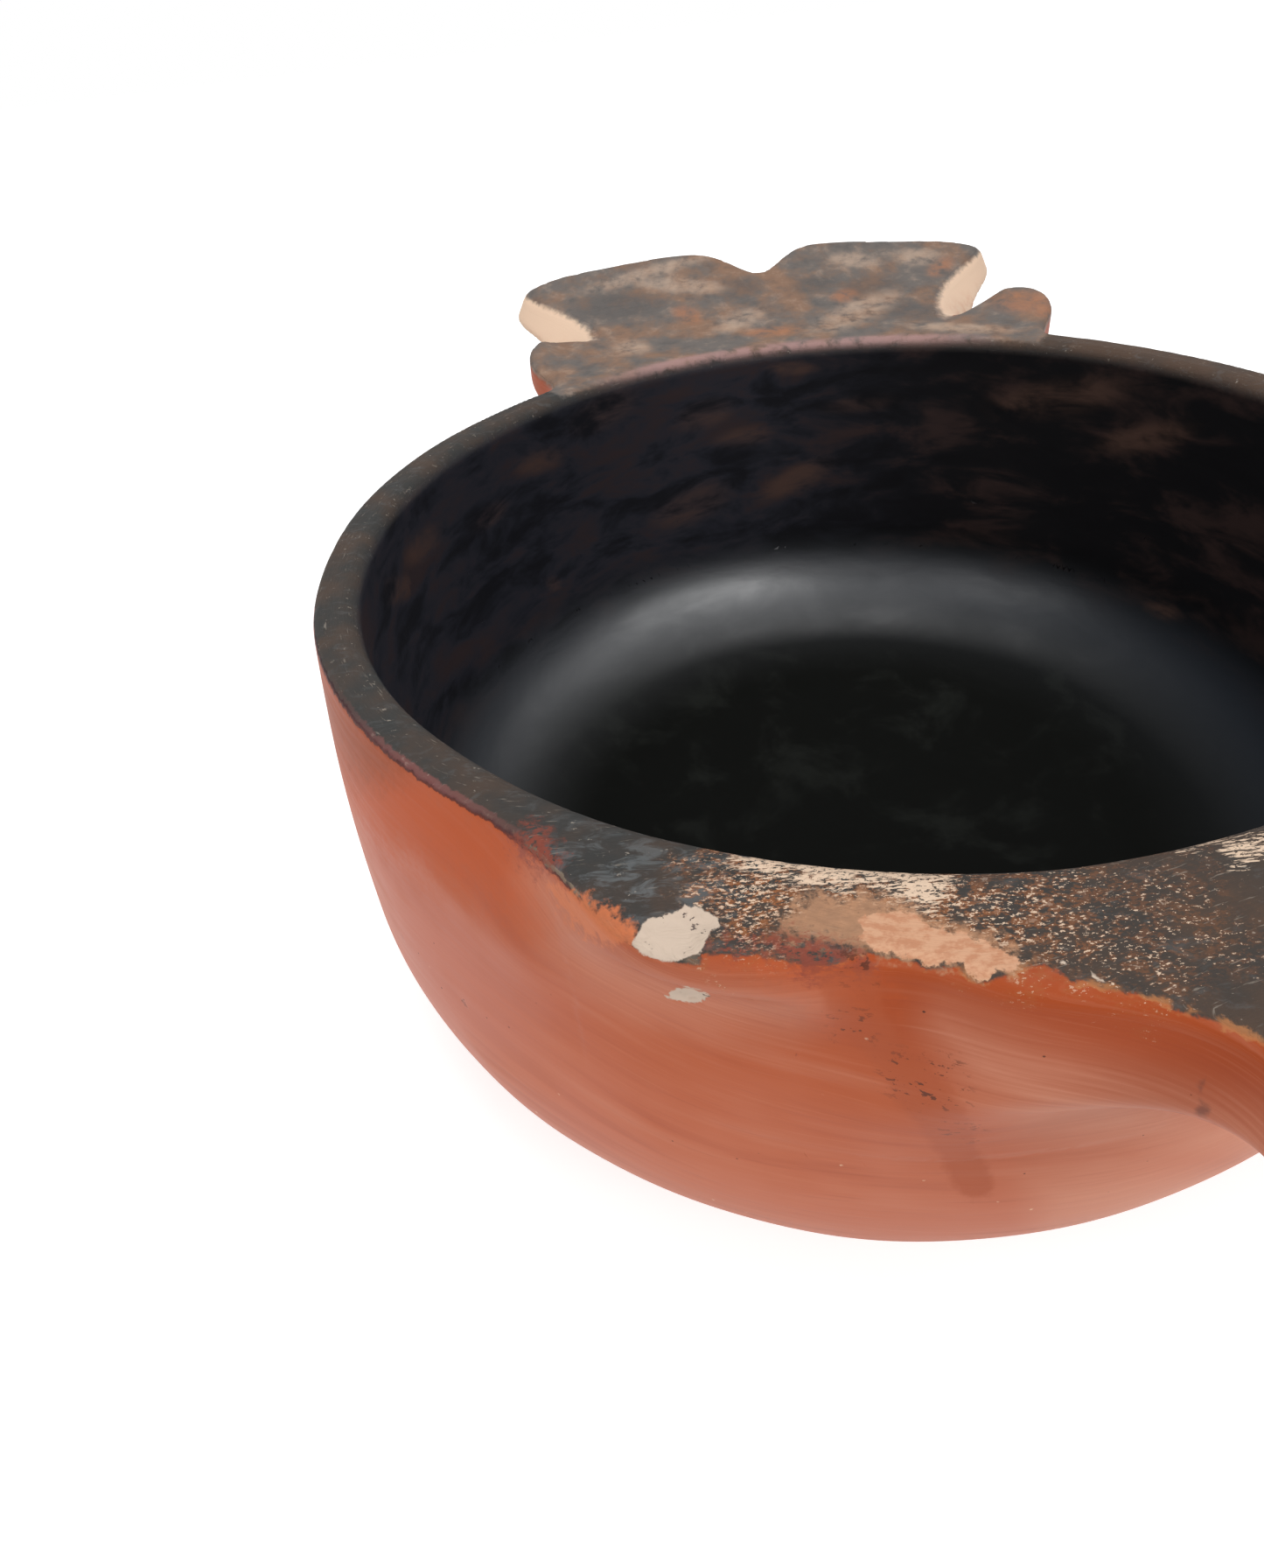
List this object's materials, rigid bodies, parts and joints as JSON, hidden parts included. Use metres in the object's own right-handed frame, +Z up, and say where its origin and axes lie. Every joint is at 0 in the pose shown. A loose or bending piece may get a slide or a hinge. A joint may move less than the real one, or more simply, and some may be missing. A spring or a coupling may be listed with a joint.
{
  "type": "zoomorphic bowl",
  "caption": "Hand-built, burnished clay bowl with a head, a forked tail and small limbs standing out from its rim; red outside, smoked black inside.",
  "frame": {"origin": "centre of the flat foot, on the surface that the bowl stands on", "axes": "+Z up through the mouth; -X out along the tail; +X towards the head, which is set about ten degrees towards +Y"},
  "size_m": [0.3544, 0.2464, 0.1245],
  "materials": {
    "red_slip_clay": "burnished red-orange slip outside, smoked glossy black inside",
    "smudged_rim_clay": "matt smoked charcoal on top, red slip on the sides",
    "mottled_clay": "worn, mottled grey, brown and buff clay"
  },
  "bodies": {
    "root": {"base_disc": "red_slip_clay", "lower_wall_coil": "red_slip_clay", "middle_wall_coil": "red_slip_clay", "upper_wall_coil": "red_slip_clay", "rim_coil": "smudged_rim_clay", "head": "smudged_rim_clay", "front_limb_left": "smudged_rim_clay", "front_limb_right": "smudged_rim_clay", "rear_limb_left": "mottled_clay", "rear_limb_right": "mottled_clay", "tail": "mottled_clay"}
  },
  "joints": []
}
